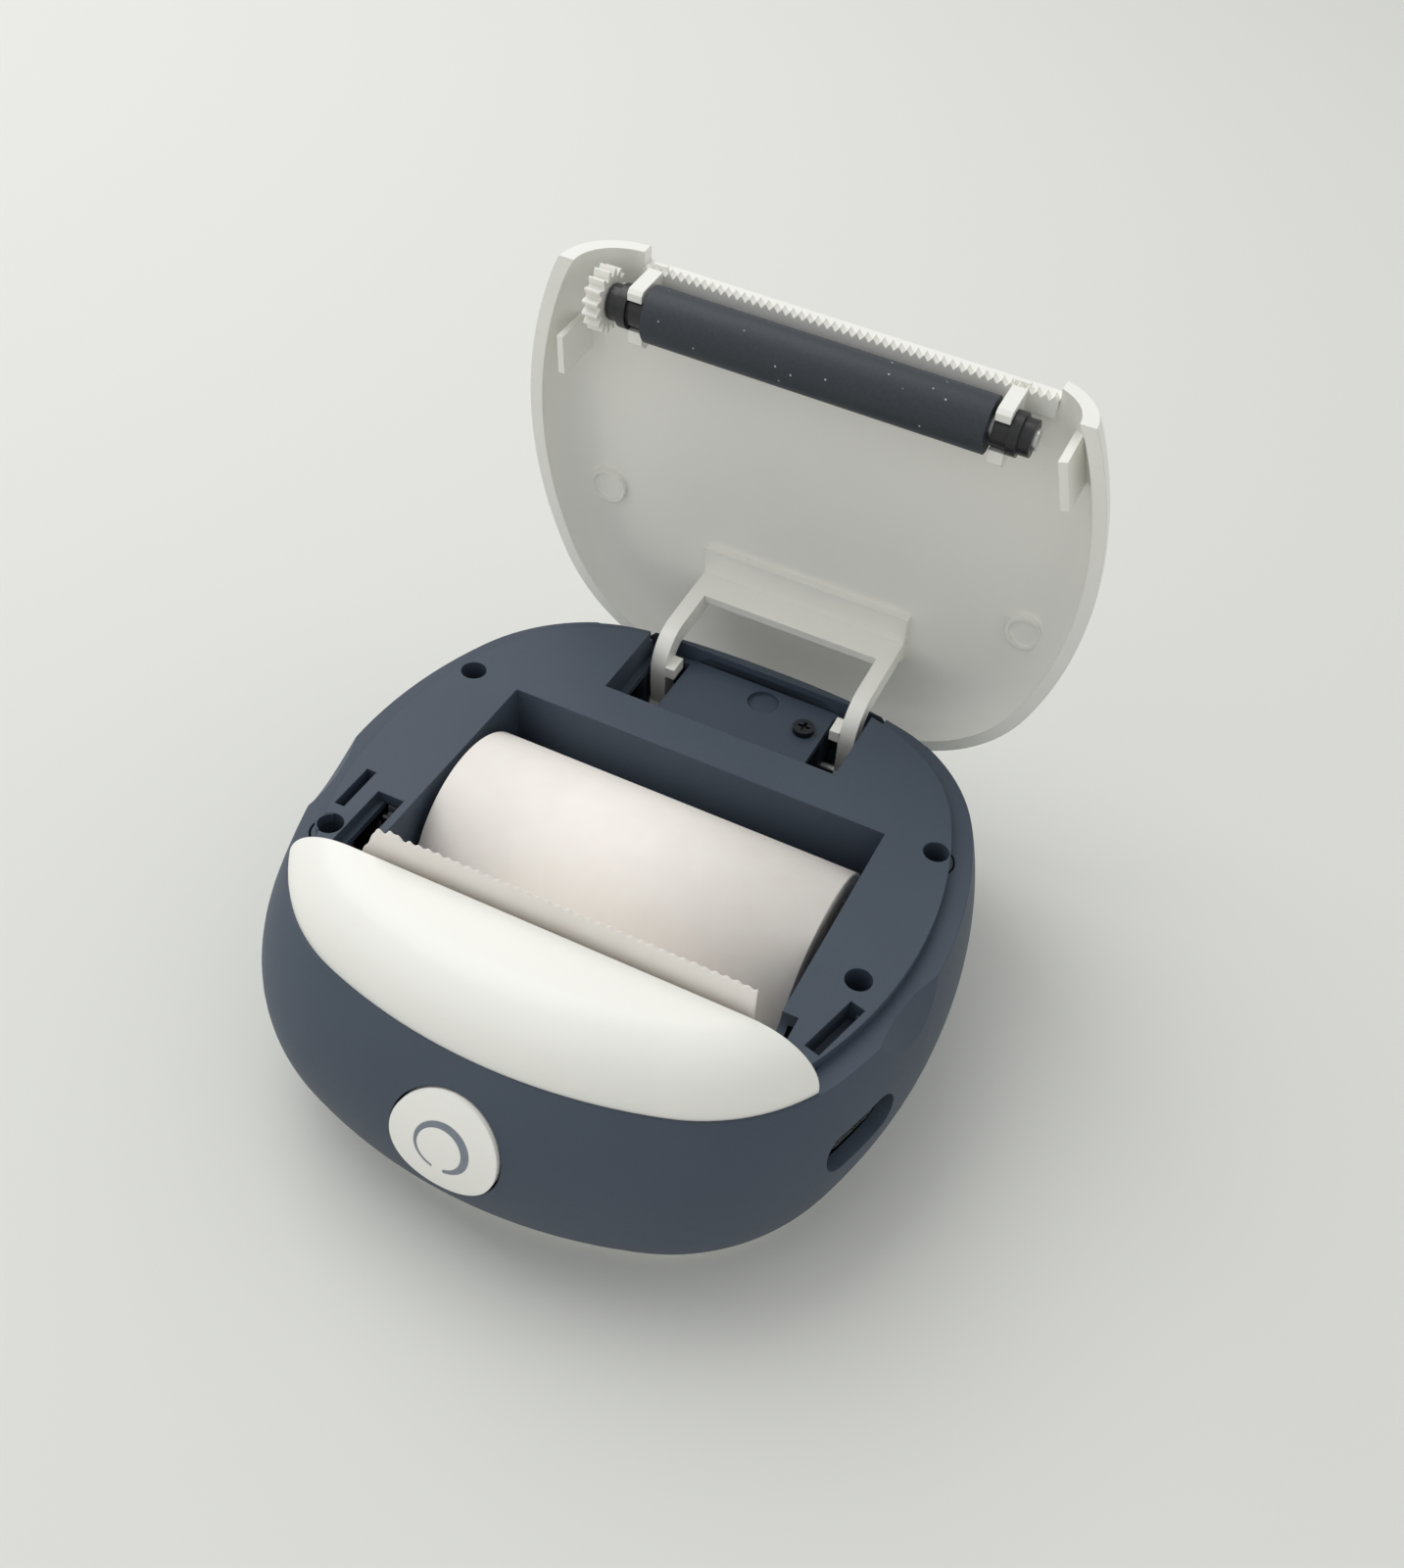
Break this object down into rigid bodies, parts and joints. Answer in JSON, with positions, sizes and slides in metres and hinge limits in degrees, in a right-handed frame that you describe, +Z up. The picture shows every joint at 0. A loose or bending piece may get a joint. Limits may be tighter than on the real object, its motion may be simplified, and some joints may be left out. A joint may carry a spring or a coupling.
{
  "type": "portable thermal printer",
  "caption": "Palm-sized thermal printer with a hinged lid, drop-in paper bay, rubber platen roller, gear train, power button and charging port.",
  "frame": {"origin": "middle of the flat base, on the plane that the printer stands on", "axes": "+Z up, +X to the right with the power button at the front, +Y to the rear"},
  "size_m": [0.0954, 0.1101, 0.0877],
  "materials": {
    "slate_abs": "fine moulded texture",
    "white_abs": "satin",
    "grey_lens": "translucent look",
    "zinc_steel": "zinc plated",
    "spring_steel": "drawn wire",
    "black_plastic": "moulded",
    "thermal_paper": "smooth coated paper",
    "card_core": "pressed card",
    "motor_can": "plated can",
    "brass_pinion": "cut brass",
    "white_acetal": "moulded",
    "platen_rubber": "ground",
    "head_ceramic": "glazed",
    "heat_sink": "milled",
    "circuit_board": "solder mask",
    "battery_pouch": "foil pouch",
    "socket_steel": "drawn"
  },
  "bodies": {
    "housing": {"body_shell": "slate_abs", "base_cover": "white_abs", "base_screws": "zinc_steel", "top_deck": "slate_abs", "case_screws": "zinc_steel", "recess_screw": "zinc_steel", "front_panel": "white_abs", "paper_sensor": "black_plastic", "paper_strip": "thermal_paper", "head_bracket": "zinc_steel", "head_springs": "spring_steel", "hinge_pins": "zinc_steel", "gear_axles": "zinc_steel", "motor_bracket": "zinc_steel", "stepper_motor": "motor_can", "main_board": "circuit_board", "board_parts": "black_plastic", "battery": "battery_pouch", "usb_socket": "socket_steel", "socket_board": "circuit_board", "power_switch": "black_plastic", "switch_board": "circuit_board"},
    "lid": {"lid_shell": "white_abs", "tear_bar": "white_abs", "hinge_bracket": "white_abs", "platen_bush_left": "black_plastic", "platen_bush_right": "black_plastic"},
    "platen": {"platen_shaft": "zinc_steel", "platen_rubber": "platen_rubber", "platen_gear": "white_acetal"},
    "paper": {"paper_roll": "thermal_paper", "roll_core": "card_core"},
    "drive": {"drive_gear": "white_acetal"},
    "idler": {"idler_gear": "white_acetal"},
    "pinion": {"motor_pinion": "brass_pinion", "motor_shaft": "zinc_steel"},
    "button": {"power_button": "white_abs", "power_ring": "grey_lens"},
    "head": {"print_head": "head_ceramic", "head_heat_sink": "heat_sink"}
  },
  "joints": [
    {"name": "lid_hinge", "type": "hinge", "parent": "housing", "child": "lid", "pos_m": [0, 0.0412, 0.0208], "axis": [1, 0, 0], "range_deg": [0, 85.4]},
    {"name": "platen_spin", "type": "hinge", "parent": "lid", "child": "platen", "pos_m": [0, 0.04941, 0.08206], "axis": [1, 0, 0], "continuous": true},
    {"name": "paper_spin", "type": "hinge", "parent": "housing", "child": "paper", "pos_m": [0, 0.0026, 0.02], "axis": [1, 0, 0], "continuous": true},
    {"name": "drive_spin", "type": "hinge", "parent": "housing", "child": "drive", "pos_m": [0, -0.01824, 0.02194], "axis": [1, 0, 0], "continuous": true},
    {"name": "idler_spin", "type": "hinge", "parent": "housing", "child": "idler", "pos_m": [0, -0.00788, 0.02799], "axis": [1, 0, 0], "continuous": true},
    {"name": "pinion_spin", "type": "hinge", "parent": "housing", "child": "pinion", "pos_m": [0, -0.00396, 0.02219], "axis": [1, 0, 0], "continuous": true},
    {"name": "button_press", "type": "slide", "parent": "housing", "child": "button", "axis": [0, 0.9703, -0.2419], "range_m": [0, 0.0004], "stiffness_N_per_m": 900},
    {"name": "head_press", "type": "slide", "parent": "housing", "child": "head", "axis": [0, -1, 0], "range_m": [0, 0.0004], "stiffness_N_per_m": 2000}
  ],
  "couplings": [
    {"joint": "idler_spin", "follows": "drive_spin", "ratio": -2},
    {"joint": "pinion_spin", "follows": "drive_spin", "ratio": 2.6667}
  ]
}
